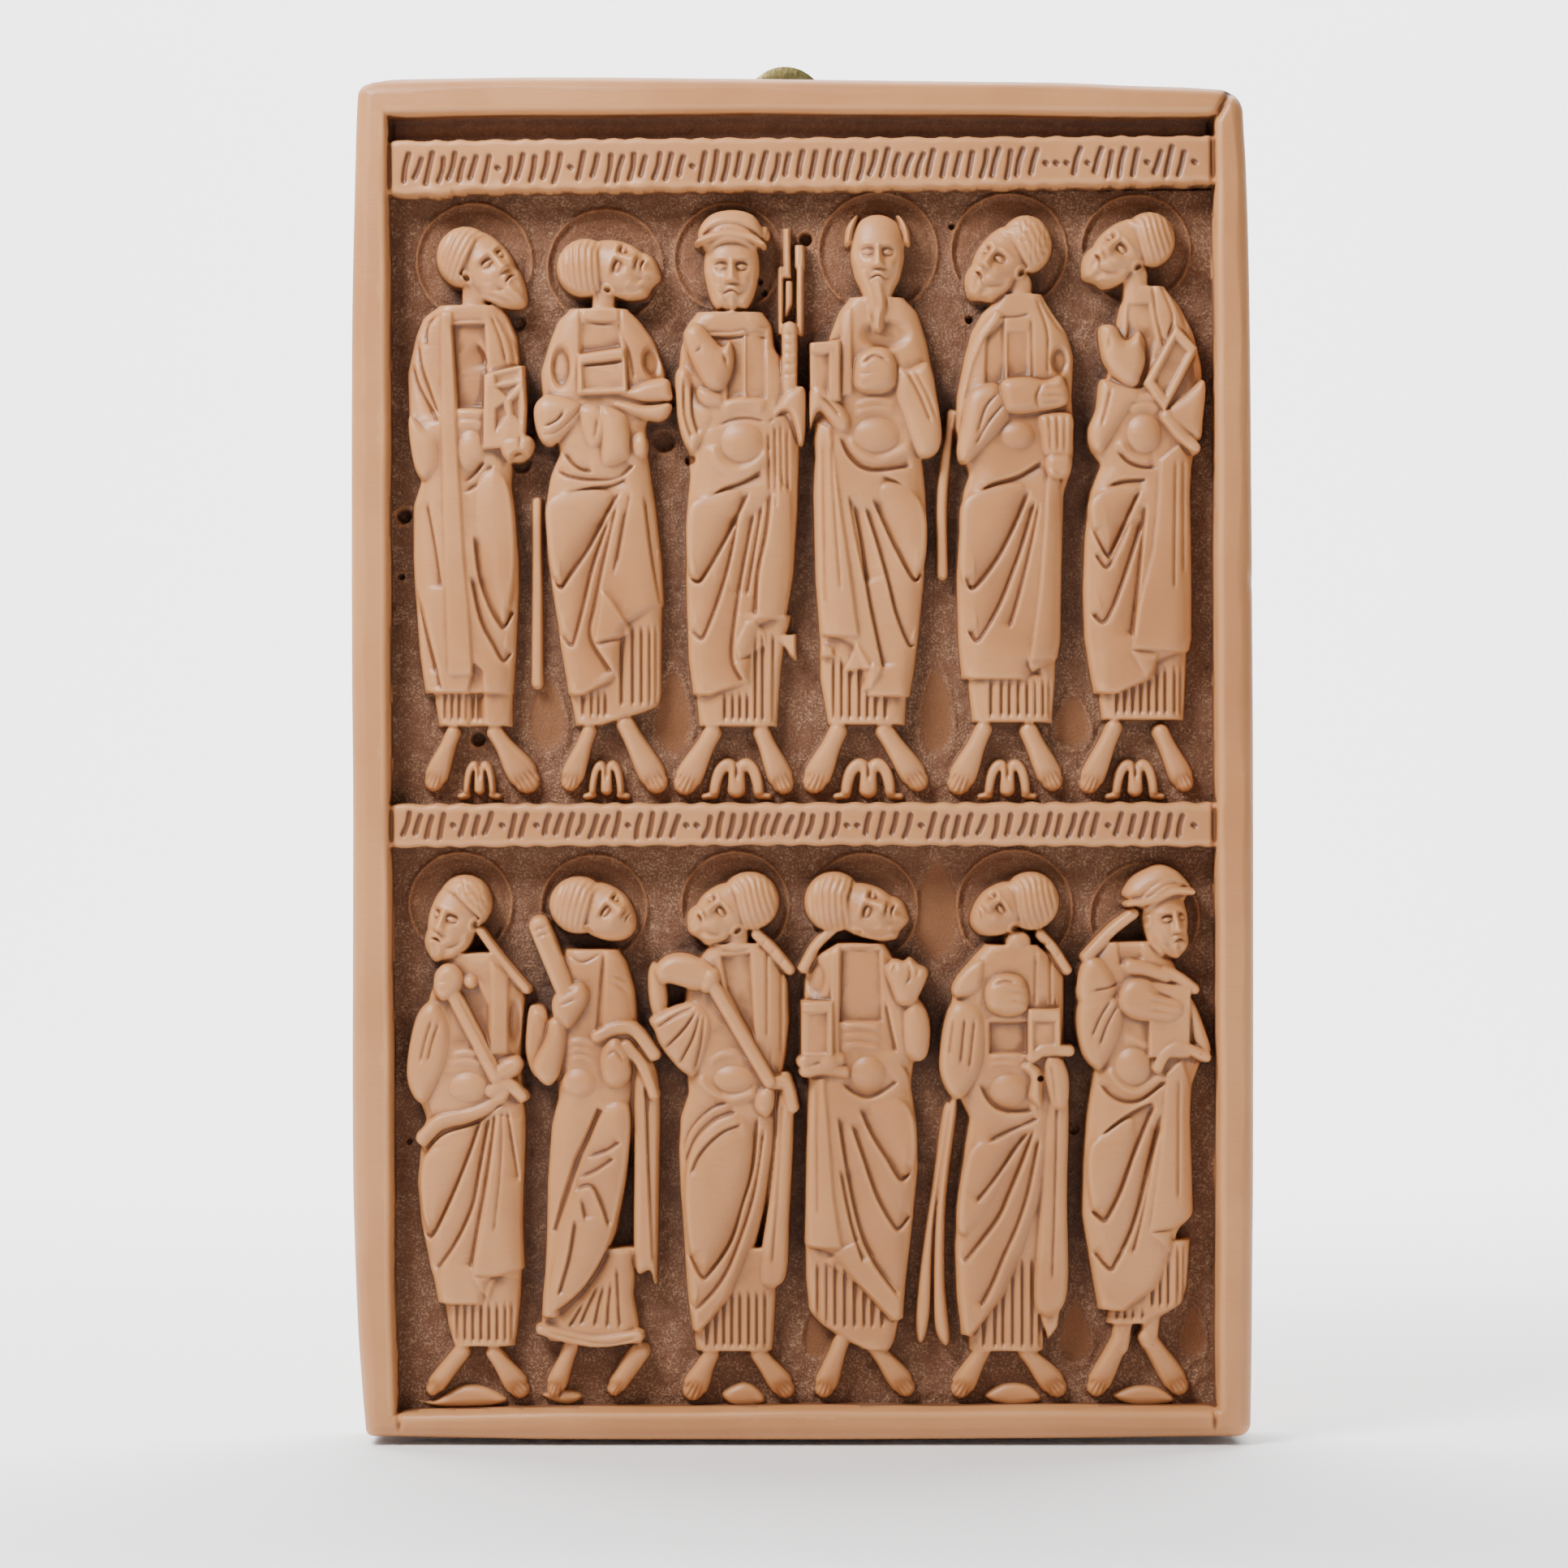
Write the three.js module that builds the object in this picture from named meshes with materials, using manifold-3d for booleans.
// Small wall plaque with twelve standing apostles in two rows, cast in one with its frame,
// and a flat brass hanging ring let into its back. Millimetres, +Z up, the relief faces -Y.
// The origin is where the nail carries the ring: the top of the ring's hole, at the back plane.
import * as THREE from "three";
import { mergeVertices } from "three/addons/utils/BufferGeometryUtils.js";
import Module from "manifold-3d";

const wasm = await Module();
wasm.setup();

// driving dimensions of the cast slab; its depths count from the wall
const slab = {
  left: -52.9, right: 57.4, top: -1.9, bottom: -169.2,
  bowLeft: 0.8, bowRight: 0.7, bowTop: 1.0, bowBottom: 0.4,
  cornerRadius: [1.8, 3, 2, 1.4],
};
const depth = { frame: 14, band: 12.6, ground: 8 };
const opening = { left: -49.0, right: 53.1, top: -5.7 };
const cove = { bottom: -8.3, depth: 9.5 };
const upperBand = { top: -8.3, bottom: -15.1 };
const middleBand = { top: -90.8, bottom: -96.2 };
const ledgeTop = -165.7;
const upperGround = -90.4;
const lowerGround = -165.9;

// driving dimensions of the brass ring plate and of the pocket that takes it
const ring = { outer: 5.1, hole: 3.0, thickness: 1.0, inset: 0.3, tailWidth: 5, tailEnd: -15.5 };
const pocket = { width: 10.9, bottom: -8.6, depth: 4.2, gap: 0.3 };

// how finely the forms are faceted: cells across and down a figure, sides of a halo
const facets = { across: 11, down: 21, halo: [4, 11] };

// robe: rows of height, left edge, right edge; every figure counts x from its own middle
// and heights from the ground line under its feet
const figures = [
  // upper row, first
  {
    x: -38.7, ground: upperGround,
    halo: [0, 67, 6.9],
    head: [-0.8, 66.9, 4.1, 4.2], face: [2.4, 65.0, 3.5, 2.9, -40], beard: [4.7, 62.7, 2.4, 1.5, -35],
    look: 1,
    robe: [[61.5, -4, 3.4], [58, -7, 5.2], [52, -8.2, 6.4], [47, -8.2, 5], [42, -7.4, 4.2], [38, -6.8, 5],
      [28, -7.6, 5.7], [18, -6.8, 5.4], [13.4, -6, 5]],
    tunic: [[15, -5, 5], [9.1, -4.3, 4.8]],
    limbs: [[-6.4, 57, -7, 48, 1.2, 1.6], [-6, 47, -5.4, 41, 2.1, 1.8]],
    hands: [[5.3, 43.4, 2.2, 1.6, 0]],
    belly: [-0.1, 43.2, 1.8, 2.4], belt: [-2, 1.6, 47.2, 2],
    cloths: [[[-3.9, 60.4], [-2.6, 60.4], [0.1, 15.4], [-2.9, 15.4]]],
    books: [[4, 49.4, 4.9, 8.2, 4]],
    folds: [[-1, 37, 0, 26, 3.9, 17], [0.3, 30, 1.6, 25, 3.9, 21.2], [-5.2, 37, -3.9, 26, -3.6, 14]],
    pleats: [-3.8, 0.2, 4], feet: [[-2.5, 8.2, -5.3, 1.3], [2.7, 8, 7.0, 1.2]],
  },
  // upper row, second
  {
    x: -22.2, ground: upperGround,
    halo: [-0.2, 66.3, 7],
    head: [-2.5, 65.8, 3.8, 3.9], face: [1.7, 65.4, 3.6, 3.3, 20], beard: [4, 63.7, 2.5, 1.4, 10], look: 1,
    robe: [[61, -4.2, 3], [58, -6.2, 5.4], [53, -7.6, 7], [49.5, -7.4, 7.4], [45.5, -6, 5.8],
      [42, -6.2, 5.4],
      [38, -7.2, 6], [31, -7.4, 6.4], [24, -6.6, 7.1], [19, -5.7, 3.6], [13.6, -4.9, 1.6]],
    tunic: [[24, 0, 6.8], [10.6, -4, 6.7]],
    limbs: [[-7.2, 47.6, -3.4, 48.2, 1.9, 1.4], [6.2, 50.1, 2.4, 48.6, 1.8, 1.3],
      [1.2, 47.6, 0.9, 43, 1.7, 1.7]],
    hands: [[-5.6, 53.6, 1.5, 3.1, 0], [4.7, 43, 1.4, 1.9, 0]],
    cloths: [[[3.4, 41.5], [5.4, 41.5], [7, 23.5], [1.6, 26]]],
    books: [[-0.4, 52.6, 6, 5, 4]],
    folds: [[1.6, 37.6, -2, 31, -5.6, 26.2], [2.2, 36, -1.4, 28, -4.3, 19.4], [2.6, 34, 0, 26, -1.4, 20],
      [-5.8, 39.6, -1, 39.4, 3.2, 41], [-6.2, 36.4, -3, 38.6, 2.6, 40]],
    pleats: [-3.4, 0.4, 4], feet: [[-2, 8.4, -4.7, 1.4], [2.8, 9, 6.6, 1.2]],
  },
  // upper row, third
  {
    x: -6.2, ground: upperGround,
    halo: [-0.8, 67.5, 6.6],
    head: [-0.4, 69.4, 3.9, 4], face: [-0.5, 66, 3.2, 4.2, 0], beard: [-0.1, 62.4, 2.2, 2, 0], look: 0,
    robe: [[60, -5, 4.4], [57, -6.4, 5], [52, -6.6, 7.6], [47, -6.2, 8], [43.5, -5.3, 8], [40, -5.2, 7.9],
      [36, -6.1, 7.8], [28, -6.2, 7.4], [20, -6, 5], [13.2, -5.2, 2.4]],
    tunic: [[22, 1, 6], [9, -4.4, 5.2]],
    limbs: [[-6, 51.6, -5.2, 45, 1.5, 1.7], [-4.6, 44.8, -2.2, 50, 1.6, 1.6],
      [5, 48.6, 7.4, 49.8, 1.3, 1.7],
      [6.8, 65, 6.6, 59.4, 0.9, 0.7], [8.3, 64, 8, 59.4, 0.6, 0.6]],
    hands: [[-3.4, 55.2, 2.7, 4, 22], [6.9, 54.6, 1.2, 4, 0], [7.2, 69, 1.3, 2.2, 0]],
    belly: [0.9, 44.2, 2.8, 2.7], belt: [-1.4, 3.8, 47.8, 1.8],
    cloths: [[[5.4, 48], [7.8, 48], [7, 22.3], [2.9, 22.8]]],
    folds: [[2, 38, -2, 31, -4.5, 26.6], [2.2, 36, -1.8, 28, -4, 19.8], [3.4, 37, 0.8, 28, 0, 18],
      [-3.8, 37.4, 0, 39.6, 4, 41.4]],
    pleats: [-3.6, 4, 6], feet: [[-2.7, 8, -6.1, 1.3], [3.4, 8, 6.5, 1.2]],
  },
  // upper row, fourth
  {
    x: 10.3, ground: upperGround,
    halo: [1.3, 68.2, 7.3],
    head: [1.3, 69, 3.4, 3.8], face: [1.2, 66.2, 3.2, 3.8, 0], beard: [1.3, 61, 2, 3.6, 0], look: 0,
    robe: [[62, -2.4, 4.6], [60, -4.6, 6.6], [55, -6.4, 7.8], [50, -6.2, 8.2], [45, -6.2, 8],
      [41, -6.6, 6.4],
      [36, -6.6, 7.4], [30, -6.5, 7.2], [20, -4, 6.2], [13, -0.4, 5]],
    tunic: [[21, -6.2, 2], [9.2, -5, 4.5]],
    limbs: [[6.8, 58.6, 8, 47, 1.4, 1.6], [3.2, 51.4, 7.4, 45, 1.5, 1.9],
      [-5.6, 49.6, -2.6, 46.6, 1.6, 1.2]],
    hands: [[1.2, 53, 3, 2.5, 0], [-5.6, 48.6, 1.9, 2.3, 0], [-2.2, 70.4, 1.2, 1.9, 15],
      [4.7, 70.4, 1.2, 1.9, -15]],
    belly: [1.1, 45.1, 3, 2.4], belt: [-1.8, 3.6, 48.2, 1.4],
    cloths: [[[-6.8, 47], [-4.6, 47], [-1.3, 20.2], [-6, 20.1]]],
    books: [[-5.4, 53.2, 4, 7.2, 0]],
    folds: [[-1, 39, 1.6, 32, 5.6, 27], [-2, 37, 1, 28, 5.2, 19.2], [-3, 40, -0.4, 28, 1, 16.4],
      [-2.4, 44.6, 1, 40.4, 5.6, 41.2]],
    pleats: [-4.6, 4, 6], feet: [[-3.5, 8.2, -6.3, 1.3], [1.9, 8.2, 5.9, 1.2]],
  },
  // upper row, fifth
  {
    x: 28.3, ground: upperGround,
    halo: [-0.4, 68.3, 7.2],
    head: [1.6, 68.6, 3.6, 3.9], face: [-1.5, 67.2, 3.2, 3.6, 0], beard: [-3.4, 63.6, 2.3, 1.7, 25],
    look: -1,
    robe: [[62.5, -2, 3.6], [59.5, -4.2, 6.4], [55, -6, 7.4], [50, -7, 7.2], [45, -6.6, 7.6],
      [41, -5.2, 7.6],
      [37, -6.2, 6.3], [28, -7, 6.1], [20, -6.8, 6], [15, -6.3, 5.4]],
    tunic: [[17, -6, 5.2], [9.5, -5.2, 5]],
    limbs: [[-0.6, 49.9, 5.2, 50, 2, 1.9], [-1.8, 50, -5.6, 43.6, 1.6, 1.8], [5.5, 47, 5.5, 43, 1.7, 1.6],
      [-4.2, 59.6, -7.6, 49, 0.8, 0.8], [-7.6, 49, -8.7, 28, 0.6, 0.7]],
    hands: [[5.4, 41.3, 1.8, 1.4, 0], [4.2, 66.6, 0.9, 1.9, 0]],
    belly: [0.6, 45, 2, 1.6],
    cloths: [[[4.4, 40], [6, 40], [4.8, 17.1], [2, 17.1]]],
    folds: [[2, 38, -1.2, 32, -5.2, 26.2], [2.9, 37, 0, 28, -4.6, 19.8], [4, 41.6, -0.6, 39.6, -4, 37.8]],
    pleats: [-3, 4.2, 6], feet: [[-3.5, 8.6, -6.7, 1.3], [2, 8.6, 4.6, 1.2]],
  },
  // upper row, sixth
  {
    x: 43.8, ground: upperGround,
    halo: [-0.1, 68.5, 6.6],
    head: [1.4, 69.3, 3.6, 3.8], face: [-1.8, 68.2, 3.2, 3.1, 20], beard: [-4.2, 65.2, 2.7, 1.5, 25],
    look: -1,
    robe: [[63.5, -1, 3], [61, -2.6, 5.2], [57, -3.2, 7.2], [52, -3.8, 8], [47, -5, 7.6], [43, -5.2, 7],
      [38, -5.8, 6.6], [30, -6.7, 6.8], [22, -6.4, 3], [13.4, -5.4, 1.6]],
    tunic: [[20, 0, 6], [9.9, -4.4, 5.6]],
    limbs: [[-0.4, 52, -4.4, 45.2, 1.3, 1.7], [3.6, 47.4, 7, 43.2, 0.9, 0.8]],
    hands: [[-2, 54.6, 2.5, 3.2, -15], [6.6, 48.4, 1.5, 3, -25]],
    belly: [0.7, 45.3, 2.2, 2.5], belt: [-1.2, 2.8, 48.8, 1.2],
    cloths: [[[4.4, 42], [6.6, 42], [6.4, 18.2], [-0.8, 18.7]]],
    books: [[3.9, 53.4, 4, 8.3, -28]],
    folds: [[0.6, 38, -1.6, 33, -3.8, 30.2], [1.4, 36, -1, 29, -4.6, 21.8], [-3.8, 39.2, -1, 39.9, 1, 39.8],
      [-2.6, 43, -0.4, 41.4, 2.2, 41.2]],
    pleats: [-4, 1, 5], feet: [[-2.7, 8.6, -6, 1.3], [2.7, 8.2, 5.5, 1.2]],
  },
  // lower row, first
  {
    x: -39.2, ground: lowerGround,
    halo: [-1.2, 62.5, 6.4],
    head: [-0.4, 62.6, 3.2, 3.6], face: [-2.4, 60.2, 2.4, 3.2, -20], beard: [-3.4, 56.6, 1.8, 2.1, -20],
    look: -1,
    robe: [[56, -2.6, 4.6], [53.5, -4, 6.2], [49, -5, 7], [44, -6.4, 6.8], [40, -6.4, 6.6], [37.5, -5, 7],
      [34, -6, 6.9], [28, -6.6, 6.9], [21, -5.6, 6.7], [17, -4.9, 3], [13, -3.9, 2.4]],
    tunic: [[20, 1, 6.4], [7.5, -1.8, 5.6]],
    limbs: [[-3.6, 48, -5.6, 40.4, 1.7, 2.2], [-1.9, 51, 3.6, 41, 1, 1], [1.4, 58.2, 6.8, 52, 0.7, 0.8],
      [3.2, 38.6, 6.2, 39.4, 1.2, 1.3]],
    hands: [[-1.4, 53, 2.5, 2.4, 0], [4.8, 42, 2, 1.2, 25]],
    belly: [0.2, 39.7, 2.5, 2.1], belt: [-2.2, 1.8, 42.6, 1.8],
    cloths: [[[3.6, 36.6], [4.8, 36.8], [6.6, 16.1], [0.6, 16.7]]],
    folds: [[1.6, 35.4, -1, 27, -4.4, 21.5], [3, 35, 1, 26, -3.9, 17.3], [7, 40, 1, 36.4, -5.4, 33.4]],
    pleats: [-1.4, 5.2, 6], feet: [[-0.7, 6.6, -4.8, 1.8], [3.2, 6.4, 6.6, 1.6]],
  },
  // lower row, second
  {
    x: -24.2, ground: lowerGround,
    halo: [0.4, 62, 6.6],
    head: [-1.4, 62.3, 3.8, 3.8], face: [2.4, 61.5, 3.4, 3.2, 0], look: 1,
    robe: [[57, -3.4, 4.4], [55, -4.2, 4.8], [50, -4.8, 5.8], [46, -4.8, 7], [42, -4.4, 6],
      [38.5, -3.8, 5.6],
      [35, -4.6, 5.2], [28, -5.2, 4.6], [20, -4.9, 3.4], [15, -5.6, 1], [11.6, -6, -2]],
    tunic: [[22, -2, 5], [8.6, -6, 6.2]],
    limbs: [[-6.1, 59.4, -3.2, 52.6, 1.4, 1.4], [-3.2, 48.4, -5.3, 41.4, 1.5, 1.5],
      [2, 46.4, 5.4, 46.4, 0.9, 0.9], [5.4, 46.4, 8.2, 40, 0.9, 0.8], [-5.6, 9, 5.9, 8.8, 0.9, 1]],
    hands: [[-2.3, 50.4, 2.8, 2.2, 30], [3.2, 43, 2.2, 3, 0]],
    belly: [-1, 40.3, 2.3, 2.1], belt: [-3, 1, 44, 2.4],
    cloths: [[[5.6, 46], [8.4, 41], [8.5, 16.4], [5.4, 17.6]]],
    folds: [[1.4, 36.6, -3, 30, -4.4, 21.6], [4, 33, 0.6, 31, -1.6, 28], [4.2, 28, 2, 21, -2, 13.6]],
    pleats: [-2.4, 4.6, 5], feet: [[-2.4, 7.4, -4.8, 1.5], [6, 6.2, 3.2, 1.4]],
  },
  // lower row, third
  {
    x: -7.2, ground: lowerGround,
    halo: [1, 62.3, 6.7],
    head: [2.6, 62.6, 3.9, 3.9], face: [-1.2, 61.6, 2.9, 3.2, 0], beard: [-2.5, 59.2, 1.7, 1.5, 20],
    look: -1,
    robe: [[57.5, -2.6, 4.4], [55, -5, 6.8], [50, -6, 7.6], [46, -6.4, 7.6], [42.5, -6.2, 7.2],
      [39.5, -4.4, 7.4],
      [34, -5.8, 7], [29, -6, 6.4], [20, -5.2, 4], [14.6, -4.8, 0.6], [9.8, -4.3, -2.6]],
    tunic: [[20, -1, 5], [6.9, -3.8, 5.6]],
    limbs: [[-7.8, 53.4, -3.2, 53.8, 1.6, 1.8], [-8.2, 52.6, -7.6, 49.8, 1.4, 1.2],
      [-1.9, 53, 5.4, 40.8, 0.9, 0.9],
      [3.8, 58.6, 7.4, 55, 0.8, 0.8], [-7.6, 47.6, -3.4, 48.6, 1.1, 1], [-3.6, 40, 0.4, 38.6, 0.9, 0.9]],
    hands: [[-5, 44.4, 2.6, 3.6, -20], [4.8, 38.4, 1.8, 1.9, 0]],
    belly: [0.8, 40.7, 2.7, 1.7], belt: [-2, 3.4, 43.2, 1.2],
    cloths: [[[6, 42], [8, 42], [7.4, 15.8], [3.9, 15.8]]],
    folds: [[4.6, 30, 1.8, 21, -3.5, 12.4], [3.6, 27, 1, 20, -3, 16.3], [-5.6, 30, -4.2, 35, 0.6, 38]],
    pleats: [-2.4, 5, 7], feet: [[-1.9, 6.1, -4.1, 1.2], [4.1, 6.1, 7.3, 1.3]],
  },
  // lower row, fourth
  {
    x: 9.3, ground: lowerGround,
    halo: [0.5, 62, 6.8],
    head: [-3, 62.6, 3.8, 3.9], face: [1, 61.8, 3.2, 2.9, 0], beard: [3.9, 60.8, 2.2, 1.7, 10], look: 1,
    robe: [[57.5, -2.6, 3.4], [55.5, -6.4, 4.4], [51, -7, 7], [47, -6.8, 7.4], [43, -6.6, 7],
      [39, -6.2, 6.6],
      [33, -6.6, 7.3], [26, -6.6, 6.8], [18, -4, 5.8], [10.2, 4, 5.2]],
    tunic: [[21, -6.8, 2], [9, -4.8, 4.4]],
    limbs: [[4.2, 51, 5.4, 46.4, 1.4, 1.5], [7.4, 49.6, 6.8, 44.8, 1.7, 1.8],
      [-3.4, 59.2, -7, 54.8, 0.8, 0.8],
      [-6.4, 43, -2.6, 43.2, 1.2, 1.2], [-6.6, 41.4, -3, 41.2, 1.1, 1]],
    hands: [[5.6, 53.4, 2.9, 2.7, 0]],
    belly: [1, 41.4, 2.4, 2.4], belt: [-2.4, 3.2, 46, 3],
    cloths: [[[-6.8, 40], [-4, 40], [-3.1, 20], [-6.9, 20]]],
    books: [[-5.3, 47.4, 4.2, 6.6, 0]],
    folds: [[-1.6, 37, 1.4, 32, 5.2, 28.4], [-2.6, 37, 0.6, 28, 4.7, 22.4], [-3.4, 36, 0, 23, 5, 13.4]],
    pleats: [-6, 3, 7], feet: [[-2.1, 7.6, -4.5, 1.2], [1.9, 6.9, 5.9, 1.2]],
  },
  // lower row, fifth
  {
    x: 27.3, ground: lowerGround,
    halo: [1.3, 62, 7.2],
    head: [3, 62.8, 3.7, 3.8], face: [-1.3, 61.6, 3.4, 2.7, 0], look: -1,
    robe: [[57.4, -2.8, 4.4], [55, -5.2, 7.2], [51, -6.2, 7.6], [46, -6.8, 7.2], [42, -6.8, 7.4],
      [38.5, -5.4, 7.6],
      [34, -4.8, 7.4], [28, -5.8, 6.4], [20, -6.2, 3], [13, -6, -2.4], [9.2, -5.2, -4.4]],
    tunic: [[26, 0, 5.2], [6.9, -4.3, 4.8]],
    limbs: [[-2.2, 51.4, 1.8, 51.4, 2.2, 2.2], [-5, 49, -5.7, 41.6, 1.9, 2.2],
      [5.2, 58.8, 7.5, 54.6, 0.8, 0.8],
      [-6.6, 37.4, -8.6, 20, 0.8, 1], [-8.6, 20, -9.2, 10, 1, 1.2], [-7.4, 20, -7.8, 9, 0.8, 0.8]],
    hands: [[-4.6, 53.4, 2, 1.8, 30], [5.6, 42, 2.3, 3, 0]],
    belly: [0.6, 39.2, 2.5, 2.2], belt: [-2.4, 2.4, 42.8, 1.6],
    cloths: [[[5.4, 40], [7.6, 40], [7.5, 13.2], [3.6, 12.4]]],
    books: [[4.9, 47, 4.1, 5.4, 2]],
    folds: [[3.4, 35.6, 0, 28, -4.4, 23], [4, 35, 0.4, 25, -5.2, 17.4], [4.4, 32, 1.6, 22, -2.4, 12.6],
      [4, 36.2, 0.6, 34.8, -2.2, 33]],
    pleats: [-3.6, 4.2, 6], feet: [[-2.7, 6.6, -5.7, 1.4], [2.7, 6.6, 7.1, 1.5]],
  },
  // lower row, sixth
  {
    x: 43.8, ground: lowerGround,
    halo: [1, 60.8, 6.8],
    head: [2.5, 64.6, 3.9, 2.7], face: [3.5, 60.6, 2.9, 3.4, 0], beard: [3.4, 57.8, 2, 1.8, 0], look: 1,
    robe: [[57.6, -4, 2], [54.5, -6.6, 5.2], [50, -7.2, 7.6], [45.5, -7, 7.6], [42.3, -5.4, 7.2],
      [39, -6, 7],
      [32.6, -6.8, 6.9], [26, -6.9, 6.6], [18.5, -5.9, 4.4], [12.6, -5, -0.6]],
    tunic: [[20, 0, 6.2], [11, -4.4, 5.4]],
    limbs: [[-0.6, 54.4, 3, 53.9, 0.9, 0.7], [-1.4, 51.4, 4.4, 49.6, 1.9, 1.7],
      [-2.4, 50, -5.4, 44, 1.9, 2],
      [-4.8, 55, -6, 48.6, 1.9, 1.7], [6.4, 51, 8.2, 45, 1, 0.8], [2.8, 42.6, 5, 43.8, 0.9, 0.9],
      [5, 43.8, 8.2, 43.2, 0.9, 0.8], [-5.9, 56.1, -0.4, 61.2, 0.7, 0.8], [-2.5, 9.4, -1.2, 7.6, 1.2, 1],
      [1.5, 10.6, 1.6, 8.2, 1.2, 1]],
    belly: [-0.7, 42.5, 2.5, 2.5], belt: [-1.6, 1.4, 45.8, 1],
    cloths: [[[4, 42.4], [6.4, 42.4], [6.9, 23], [1.6, 22.6]]],
    books: [[3.8, 48.4, 4.6, 8.8, 3]],
    folds: [[1.8, 37.6, -0.6, 31, -4, 23.5], [2.4, 36, 0.2, 27, -3.5, 17.6],
      [1, 38, -2.4, 36.6, -4.8, 33.8],
      [-4.6, 40.4, 0, 38.6, 3.2, 41.6]],
    pleats: [-4, 2.4, 5], feet: [[-1.5, 7.2, -5.9, 1.3], [1.3, 7.2, 5.9, 1.3]],
  },
];

const halfTurn = Math.PI;
const radians = THREE.MathUtils.degToRad;

// a closed three.js geometry as a solid, its seams merged and its slivers dropped
function solidOf(geometry) {
  geometry.deleteAttribute("normal");
  geometry.deleteAttribute("uv");
  const merged = mergeVertices(geometry, 1e-4);
  const index = merged.index.array;
  const triangles = [];
  for (let i = 0; i < index.length; i += 3) {
    const [a, b, c] = [index[i], index[i + 1], index[i + 2]];
    if (a !== b && b !== c && c !== a) triangles.push(a, b, c);
  }
  const mesh = new wasm.Mesh({
    numProp: 3,
    vertProperties: new Float32Array(merged.attributes.position.array),
    triVerts: new Uint32Array(triangles),
  });
  return new wasm.Manifold(mesh);
}

// moves every corner of a geometry by a rule that changes it in place
function reshape(geometry, rule) {
  const places = geometry.attributes.position;
  const point = new THREE.Vector3();
  for (let i = 0; i < places.count; i += 1) {
    point.fromBufferAttribute(places, i);
    rule(point);
    places.setXYZ(i, point.x, point.y, point.z);
  }
  return geometry;
}

// everything below is drawn as relief: x to the right, y up, z out from the wall

function box(left, right, bottom, top, back, front) {
  const geometry = new THREE.BoxGeometry(right - left, top - bottom, front - back);
  geometry.translate((left + right) / 2, (bottom + top) / 2, (back + front) / 2);
  return solidOf(geometry);
}

// heights of the relief above its ground: the crown of each kind of form, and how ridges stand up
const rise = {
  robe: 3.9, tunic: 3.2, skull: 5, face: 4.9, beard: 4.4, nose: 0.5,
  arm: 2.6, hand: 5, belly: 4.9, book: 4.9, cloth: 4.3, foot: 0.9, fold: 0.55, pleat: 0.5, belt: 0.4,
};
// heights at which the rims of rounded forms start
const rim = { head: 1, belly: 3, hand: 2 };
const swell = { arm: 1.15, foot: 1.2, nose: 0.75 };
const ridgeHalf = { fold: 0.9, pleat: 0.5 };
const pleatLength = 3.6;
const shoe = { start: 1.2, end: 1.7, lift: 0.7 };
const robeProfile = { flatness: 3, roundness: 0.4 };
const sunk = 0.4;
const soften = 0.25;
const none = -1;

// an oval swelling: middle, half sizes, turn in degrees; height of its rim and of its crown
function oval([x, y, halfWidth, halfHeight, turn = 0], at, rimHeight, crown) {
  const local = at.clone().sub(new THREE.Vector2(x, y)).rotateAround(new THREE.Vector2(), -radians(turn));
  const away = (local.x / halfWidth) ** 2 + (local.y / halfHeight) ** 2;
  return away > 1 ? none : rimHeight + (crown - rimHeight) * Math.sqrt(1 - away);
}

// how far a place lies from a line between two others, and how far along it
function besideLine(x0, y0, x1, y1, at) {
  const line = new THREE.Vector2(x1 - x0, y1 - y0);
  const from = new THREE.Vector2(at.x - x0, at.y - y0);
  const along = THREE.MathUtils.clamp(from.dot(line) / line.lengthSq(), 0, 1);
  return [from.distanceTo(line.multiplyScalar(along)), along];
}

// a tapered limb with rounded ends, half sunk at the given height
function limb([x0, y0, x1, y1, start, end], at, middle, swelling) {
  const [away, along] = besideLine(x0, y0, x1, y1, at);
  const radius = start + (end - start) * along;
  return away > radius ? none : middle + swelling * Math.sqrt(radius ** 2 - away ** 2);
}

// a flat-topped piece of cloth or board between its corners
function plate(corners, at, height) {
  let inside = false;
  corners.forEach(([x1, y1], i) => {
    const [x0, y0] = corners[(i + corners.length - 1) % corners.length];
    const crosses = (y0 > at.y) !== (y1 > at.y);
    if (crosses && at.x < x0 + (x1 - x0) * (at.y - y0) / (y1 - y0)) inside = !inside;
  });
  return inside ? height : none;
}

function book([x, y, width, height, turn], at) {
  const local = at.clone().sub(new THREE.Vector2(x, y)).rotateAround(new THREE.Vector2(), -radians(turn));
  return Math.abs(local.x) < width / 2 && Math.abs(local.y) < height / 2 ? rise.book : none;
}

// a robe through its rows: steep sides and a flat front
function robe(rows, at, crown) {
  const below = rows.findIndex(([height]) => height <= at.y);
  if (below < 1) return none;
  const [y0, left0, right0] = rows[below - 1];
  const [y1, left1, right1] = rows[below];
  const share = (at.y - y0) / (y1 - y0);
  const left = left0 + (left1 - left0) * share;
  const right = right0 + (right1 - right0) * share;
  const across = Math.abs((2 * at.x - left - right) / (right - left));
  const { flatness, roundness } = robeProfile;
  return across > 1 ? none : crown * (1 - across ** flatness) ** roundness;
}

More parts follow.
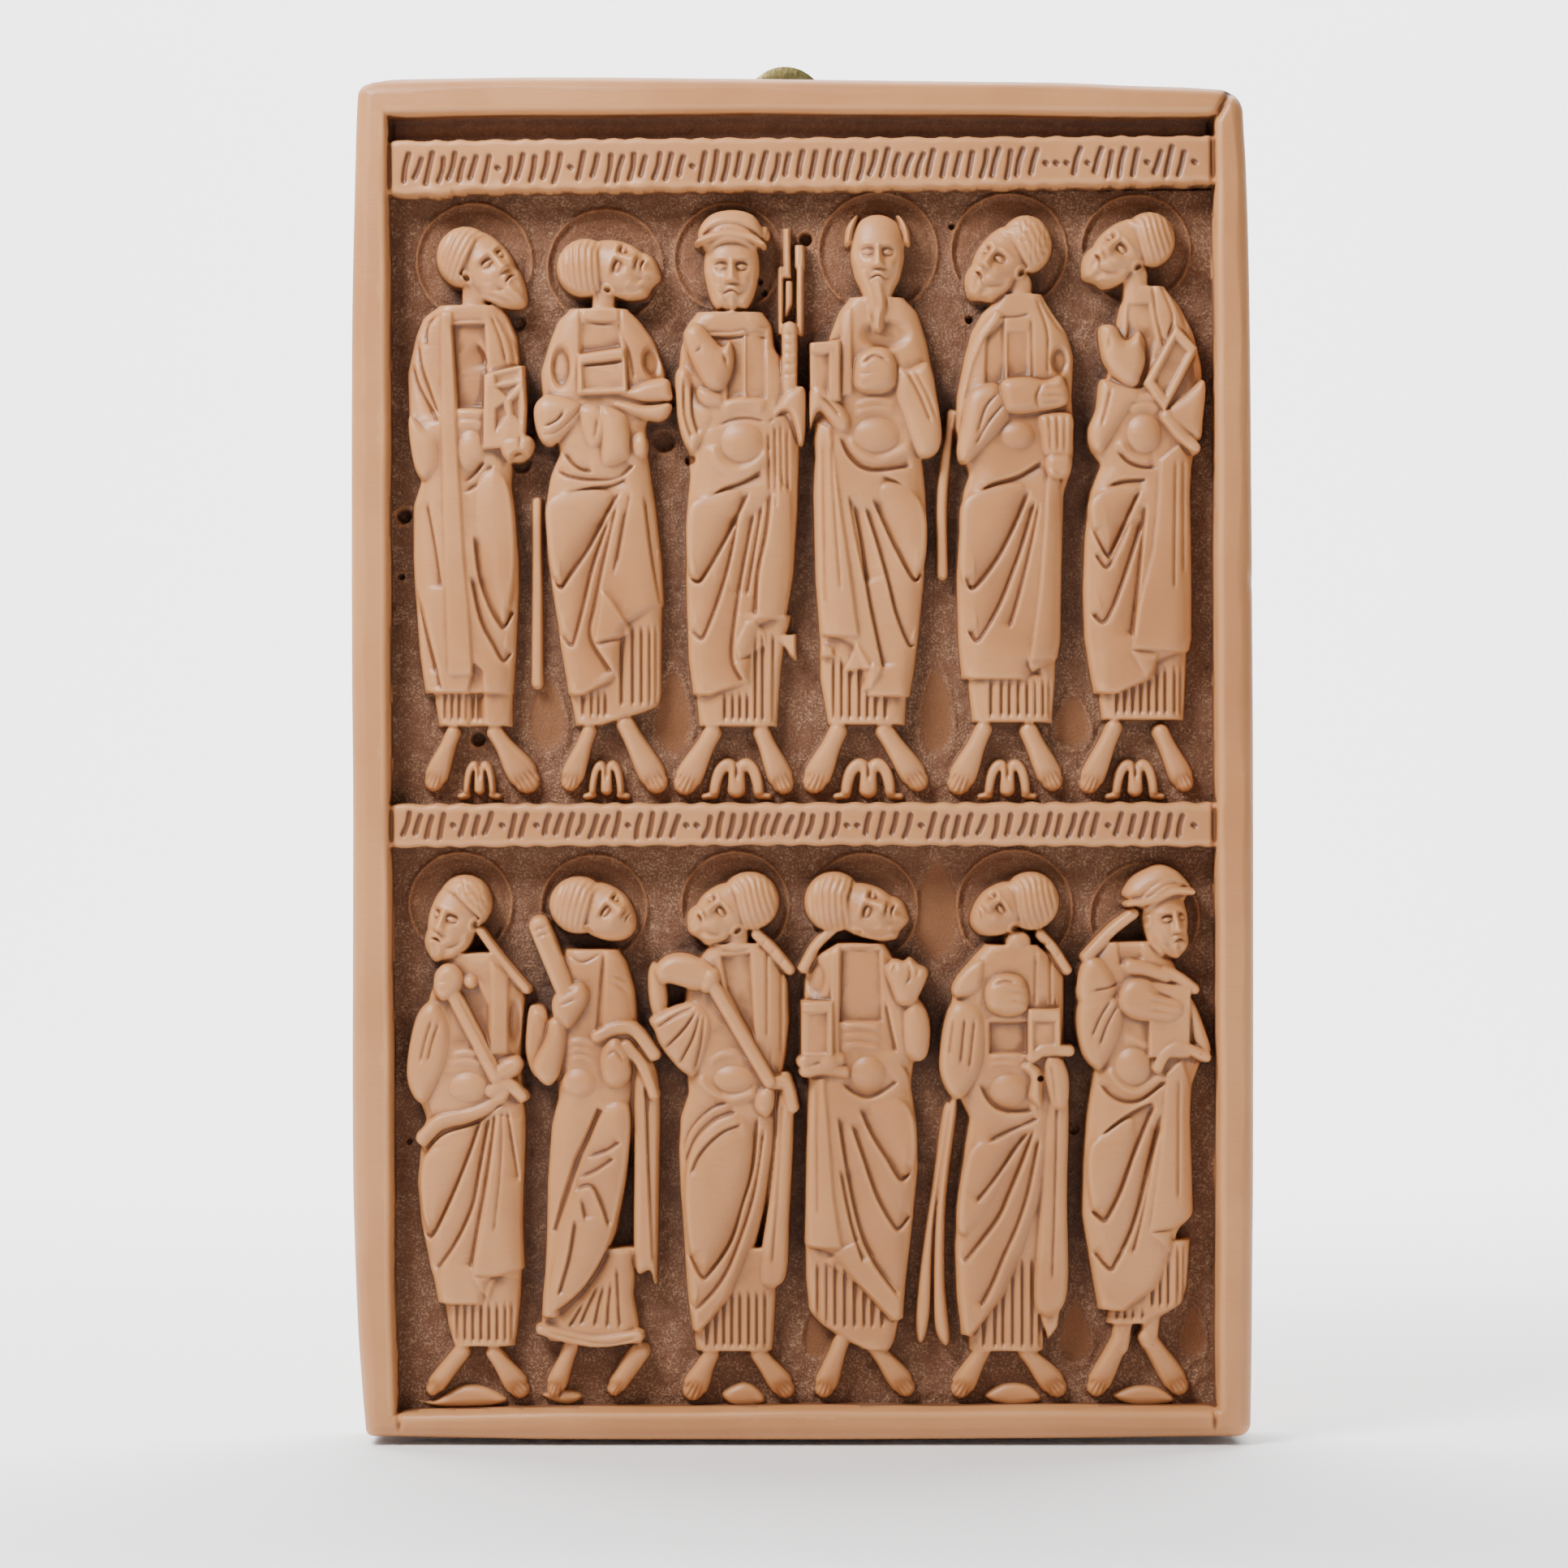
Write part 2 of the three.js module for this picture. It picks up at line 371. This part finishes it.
// soft ridges that lie on the cloth: folds through three places, upright pleats, belt bands
function ridges({ folds, pleats: [left, right, count], tunic, belt }, at) {
  let most = 0;
  const ridge = (x0, y0, x1, y1, halfWidth, tall) => {
    const [away] = besideLine(x0, y0, x1, y1, at);
    most = Math.max(most, tall * (1 - (away / halfWidth) ** 2));
  };
  for (const [x0, y0, x1, y1, x2, y2] of folds) {
    ridge(x0, y0, x1, y1, ridgeHalf.fold, rise.fold);
    ridge(x1, y1, x2, y2, ridgeHalf.fold, rise.fold);
  }
  const hem = tunic[1][0];
  for (let i = 0; i < count; i += 1) {
    const x = left + i * (right - left) / (count - 1);
    ridge(x, hem + pleatLength, x, hem, ridgeHalf.pleat, rise.pleat);
  }
  if (belt) ridge(belt[0], belt[2], belt[1], belt[2], belt[3] / 2, rise.belt);
  return most;
}

// height of a figure's relief above the ground at one place
function relief(spec, at) {
  const cloth = Math.max(
    robe(spec.robe, at, rise.robe),
    robe(spec.tunic, at, rise.tunic),
    ...spec.cloths.map((corners) => plate(corners, at, rise.cloth)),
  );
  const [faceX, faceY, faceWidth] = spec.face;
  const noseX = faceX + spec.look * faceWidth * 0.55;
  const nose = [noseX, faceY + 1.3, noseX + spec.look * 0.5, faceY - 0.5, 0.5, 0.8];
  return Math.max(
    cloth > 0 ? cloth + ridges(spec, at) : none,
    oval(spec.head, at, rim.head, rise.skull),
    oval(spec.face, at, rim.head, rise.face),
    spec.beard ? oval(spec.beard, at, rim.head, rise.beard) : none,
    limb(nose, at, rise.skull - rise.nose, swell.nose),
    spec.belly ? oval(spec.belly, at, rim.belly, rise.belly) : none,
    ...spec.limbs.map((arm) => limb(arm, at, rise.arm, swell.arm)),
    ...(spec.hands ?? []).map((hand) => oval(hand, at, rim.hand, rise.hand)),
    ...(spec.books ?? []).map((tome) => book(tome, at)),
    ...spec.feet.map(([x0, y0, x1, y1]) => {
      const foot = [x0, y0, x1, y1 + shoe.lift, shoe.start, shoe.end];
      return limb(foot, at, rise.foot, swell.foot);
    }),
  );
}

// the relief's height with its steps softened over a facet
function softRelief(spec, at) {
  let sum = 0;
  const steps = [-1, 0, 1];
  for (const i of steps) {
    for (const j of steps) sum += relief(spec, new THREE.Vector2(at.x + i * soften, at.y + j * soften));
  }
  return sum / steps.length ** 2;
}

// where a figure starts and ends at one height, found from the outside in
function reachAcross(spec, y) {
  const widest = 11;
  const step = 0.1;
  const solidAt = (x) => relief(spec, new THREE.Vector2(x, y)) > 0;
  let left = -widest;
  let right = widest;
  while (left < right && !solidAt(left)) left += step;
  while (right > left && !solidAt(right)) right -= step;
  return [left, Math.max(right, left + step)];
}

function halo([x, y, radius]) {
  const thickness = 0.85;
  const [tube, around] = facets.halo;
  const geometry = new THREE.TorusGeometry(radius, thickness, tube, around);
  geometry.translate(x, y, depth.ground - 0.05);
  return solidOf(geometry);
}

// one figure: a grid laid over its relief between its two edges, its rim sunk in the ground
function figure(spec) {
  const { across, down } = facets;
  const sole = 0.3;
  const crown = spec.head[1] + spec.head[3] - soften;
  const overhang = 1.08;
  const edges = [];
  for (let row = 0; row <= down; row += 1) {
    const y = sole + (crown - sole) * (1 - row / down);
    edges.push([y, ...reachAcross(spec, y)]);
  }
  const geometry = new THREE.BoxGeometry(2, 2, 2, across, down, 1);
  reshape(geometry, (point) => {
    const row = Math.round((1 - point.y) / 2 * down);
    const [y, left, right] = edges[row];
    const onRim = Math.max(Math.abs(point.x), Math.abs(point.y)) > 0.99;
    const spread = onRim ? point.x : point.x * overhang;
    const x = (left + right) / 2 + (right - left) / 2 * spread;
    const height = onRim ? -sunk : Math.max(softRelief(spec, new THREE.Vector2(x, y)), -sunk);
    point.set(x, y, point.z < 0 ? depth.ground - 5 * sunk : depth.ground + height);
  });
  return solidOf(geometry).add(halo(spec.halo)).translate([spec.x, spec.ground, 0]);
}

// the slab's slightly bowed outline with its four round corners
function slabOutline() {
  const { left, right, top, bottom } = slab;
  const [topLeft, topRight, bottomRight, bottomLeft] = slab.cornerRadius;
  const middleX = (left + right) / 2;
  const middleY = (top + bottom) / 2;
  const outline = new THREE.Shape();
  outline.moveTo(left + topLeft, top);
  outline.quadraticCurveTo(middleX, top + 2 * slab.bowTop, right - topRight, top);
  outline.quadraticCurveTo(right, top, right, top - topRight);
  outline.quadraticCurveTo(right + 2 * slab.bowRight, middleY, right, bottom + bottomRight);
  outline.quadraticCurveTo(right, bottom, right - bottomRight, bottom);
  outline.quadraticCurveTo(middleX, bottom - 2 * slab.bowBottom, left + bottomLeft, bottom);
  outline.quadraticCurveTo(left, bottom, left, bottom + bottomLeft);
  outline.quadraticCurveTo(left - 2 * slab.bowLeft, middleY, left, top - topLeft);
  outline.quadraticCurveTo(left, top, left + topLeft, top);
  return outline;
}

// the slab's edges roll over: depth and inset of each step from back to front
const edgeRoll = [[0, 0.9], [0.5, 0.2], [1.4, 0], [12.1, 0], [13.3, 0.5], [13.8, 1.1], [14, 2]];

function framedSlab() {
  const geometry = new THREE.ExtrudeGeometry(slabOutline(), {
    depth: edgeRoll.length - 1,
    steps: edgeRoll.length - 1,
    bevelEnabled: false,
    curveSegments: 4,
  });
  const middle = new THREE.Vector2((slab.left + slab.right) / 2, (slab.top + slab.bottom) / 2);
  const half = new THREE.Vector2(slab.right - middle.x, slab.top - middle.y);
  reshape(geometry, (point) => {
    const [front, inset] = edgeRoll[Math.round(point.z)];
    const x = middle.x + (point.x - middle.x) * (1 - inset / half.x);
    const y = middle.y + (point.y - middle.y) * (1 - inset / half.y);
    point.set(x, y, front);
  });
  const beyond = depth.frame + 2;
  const { left, right, top } = opening;
  return solidOf(geometry)
    .subtract(box(left, right, ledgeTop, top, depth.band, beyond))
    .subtract(box(left, right, cove.bottom, top, cove.depth, beyond))
    .subtract(box(left, right, middleBand.top, upperBand.bottom, depth.ground, beyond))
    .subtract(box(left, right, ledgeTop, middleBand.bottom, depth.ground, beyond));
}

const ringCentre = -ring.hole;

// the open pocket in the back: deep round the hole for the nail's head, shallow for the tail
function ringPocket() {
  const half = pocket.width / 2;
  const shallow = ring.inset + ring.thickness + pocket.gap;
  const tailHalf = ring.tailWidth / 2 + pocket.gap;
  return box(-half, half, pocket.bottom, 4, -1, pocket.depth)
    .add(box(-tailHalf, tailHalf, ring.tailEnd - pocket.gap, pocket.bottom + 1, -1, shallow));
}

// the ring plate: round eye, tail with round end, one round hole
function ringPlate() {
  const half = ring.tailWidth / 2;
  const start = Math.asin(half / ring.outer);
  const outline = new THREE.Shape();
  outline.moveTo(-half, ring.tailEnd + half);
  outline.absarc(0, ringCentre, ring.outer, -halfTurn / 2 - start, -halfTurn / 2 + start, true);
  outline.lineTo(half, ring.tailEnd + half);
  outline.absarc(0, ring.tailEnd + half, half, 0, -halfTurn, true);
  const hole = new THREE.Path();
  hole.absarc(0, ringCentre, ring.hole, 0, 2 * halfTurn, false);
  outline.holes.push(hole);
  const edge = 0.15;
  const geometry = new THREE.ExtrudeGeometry(outline, {
    depth: ring.thickness - 2 * edge,
    bevelThickness: edge,
    bevelSize: edge,
    bevelOffset: -edge,
    bevelSegments: 1,
    curveSegments: 6,
  });
  geometry.translate(0, 0, ring.inset + edge);
  return solidOf(geometry);
}

// a named mesh from a solid, turned from relief to upright
function upright(name, solid, material) {
  const { vertProperties, triVerts, numProp } = solid.getMesh();
  const corners = new Float32Array(vertProperties.length / numProp * 3);
  for (let i = 0; i < corners.length / 3; i += 1) {
    for (let axis = 0; axis < 3; axis += 1) corners[3 * i + axis] = vertProperties[numProp * i + axis];
  }
  const geometry = new THREE.BufferGeometry();
  geometry.setAttribute("position", new THREE.BufferAttribute(corners, 3));
  geometry.setIndex(new THREE.BufferAttribute(new Uint32Array(triVerts), 1));
  geometry.computeVertexNormals();
  const mesh = new THREE.Mesh(geometry, material);
  mesh.name = name;
  mesh.rotation.x = halfTurn / 2;
  return mesh;
}

const castStone = new THREE.MeshStandardMaterial({ color: 0xc9a06c, roughness: 0.5, metalness: 0 });
const oldBrass = new THREE.MeshStandardMaterial({ color: 0x6f6236, roughness: 0.55, metalness: 0.9 });

const cast = wasm.Manifold.union([framedSlab(), ...figures.map(figure)]).subtract(ringPocket());

const group = new THREE.Group();
group.add(upright("plaque", cast, castStone));
group.add(upright("hanging_ring", ringPlate(), oldBrass));

export default group;
